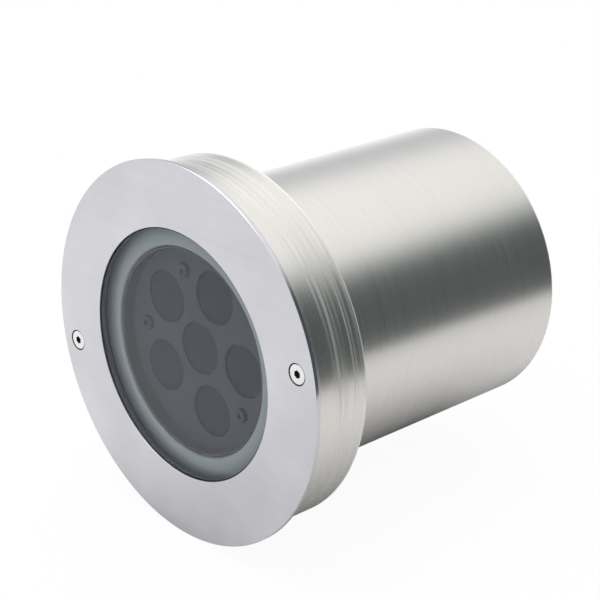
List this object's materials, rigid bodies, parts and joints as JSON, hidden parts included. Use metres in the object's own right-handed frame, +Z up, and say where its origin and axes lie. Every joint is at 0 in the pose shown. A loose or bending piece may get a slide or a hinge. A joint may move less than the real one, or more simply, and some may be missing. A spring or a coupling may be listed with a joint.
{
  "type": "in ground well light",
  "caption": "Round recessed in-ground spotlight: flat face ring, thick glass over a ring of collimator lenses, finned lamp in a deep brushed metal mounting sleeve.",
  "frame": {"origin": "on the light's axis, in the plane where the underside of the face ring rests on the sleeve, 1 mm below finished ground level", "axes": "+Y along the axis into the ground, away from the face; +Z up as the light lies in the picture; +X to the right seen from the face"},
  "size_m": [0.16, 0.1567, 0.16],
  "materials": {
    "brushed_sleeve": "stainless steel, brushed round the axis",
    "satin_ring": "stainless steel, fine satin, polished edges",
    "bright_screw": "stainless steel, bright turned",
    "clear_glass": "clear toughened glass with a faint green tint",
    "black_rubber": "black silicone rubber, matt",
    "cast_aluminium": "die-cast aluminium, blasted",
    "plain_screw": "stainless steel, plain",
    "black_plate": "black satin paint",
    "black_screw": "blackened steel",
    "black_plastic": "black moulded plastic",
    "clear_lens": "clear optical plastic",
    "emitter": "yellow phosphor under a clear dome",
    "board_white": "white solder mask",
    "grey_pad": "soft grey heat-conducting pad",
    "driver_case": "dark potting case",
    "lead_red": "red insulation",
    "gland_metal": "nickel-plated brass",
    "nylon": "natural nylon"
  },
  "bodies": {
    "sleeve": {"cable_grommet": "black_rubber", "screw_lug_left": "brushed_sleeve", "screw_lug_right": "brushed_sleeve", "sleeve_base": "brushed_sleeve", "sleeve_collar": "brushed_sleeve", "sleeve_tube": "brushed_sleeve"},
    "right_screw_collar": {"captive_washer_right": "nylon"},
    "right_screw": {"face_screw_right": "bright_screw"},
    "left_screw_collar": {"captive_washer_left": "nylon"},
    "left_screw": {"face_screw_left": "bright_screw"},
    "lamp": {"clamp_seal": "black_rubber", "cover_screws": "plain_screw", "driver": "driver_case", "driver_leads": "lead_red", "driver_screws": "plain_screw", "emitter_1": "emitter", "emitter_2": "emitter", "emitter_3": "emitter", "emitter_4": "emitter", "emitter_5": "emitter", "emitter_board": "board_white", "emitter_centre": "emitter", "face_ring": "satin_ring", "front_glass": "clear_glass", "gland_body": "gland_metal", "gland_nut": "gland_metal", "gland_oring": "black_rubber", "gland_seal": "black_rubber", "glass_gasket": "black_rubber", "lamp_housing": "cast_aluminium", "lens_1": "clear_lens", "lens_2": "clear_lens", "lens_3": "clear_lens", "lens_4": "clear_lens", "lens_5": "clear_lens", "lens_centre": "clear_lens", "lens_holder_1": "black_plastic", "lens_holder_2": "black_plastic", "lens_holder_3": "black_plastic", "lens_holder_4": "black_plastic", "lens_holder_5": "black_plastic", "lens_holder_centre": "black_plastic", "lens_plate": "black_plate", "plate_posts": "plain_screw", "plate_screws": "black_screw", "rear_cover": "cast_aluminium", "rear_gasket": "black_rubber", "ring_screws": "plain_screw", "thermal_pad": "grey_pad", "window_seal": "black_rubber"}
  },
  "joints": [
    {"name": "lamp_lift", "type": "slide", "parent": "sleeve", "child": "lamp", "axis": [0, -1, 0], "range_m": [0, 0.11]},
    {"name": "right_screw_turn", "type": "hinge", "parent": "lamp", "child": "right_screw_collar", "pos_m": [0.06901, 0, 0.01492], "axis": [0, -1, 0], "range_deg": [0, 4500]},
    {"name": "right_screw_travel", "type": "slide", "parent": "right_screw_collar", "child": "right_screw", "axis": [0, -1, 0], "range_m": [0, 0.00875]},
    {"name": "left_screw_turn", "type": "hinge", "parent": "lamp", "child": "left_screw_collar", "pos_m": [-0.06901, 0, -0.01492], "axis": [0, -1, 0], "range_deg": [0, 4500]},
    {"name": "left_screw_travel", "type": "slide", "parent": "left_screw_collar", "child": "left_screw", "axis": [0, -1, 0], "range_m": [0, 0.00875]}
  ],
  "couplings": [
    {"joint": "right_screw_turn", "follows": "right_screw_travel", "rad_per_m": 8976},
    {"joint": "left_screw_turn", "follows": "left_screw_travel", "rad_per_m": 8976}
  ]
}
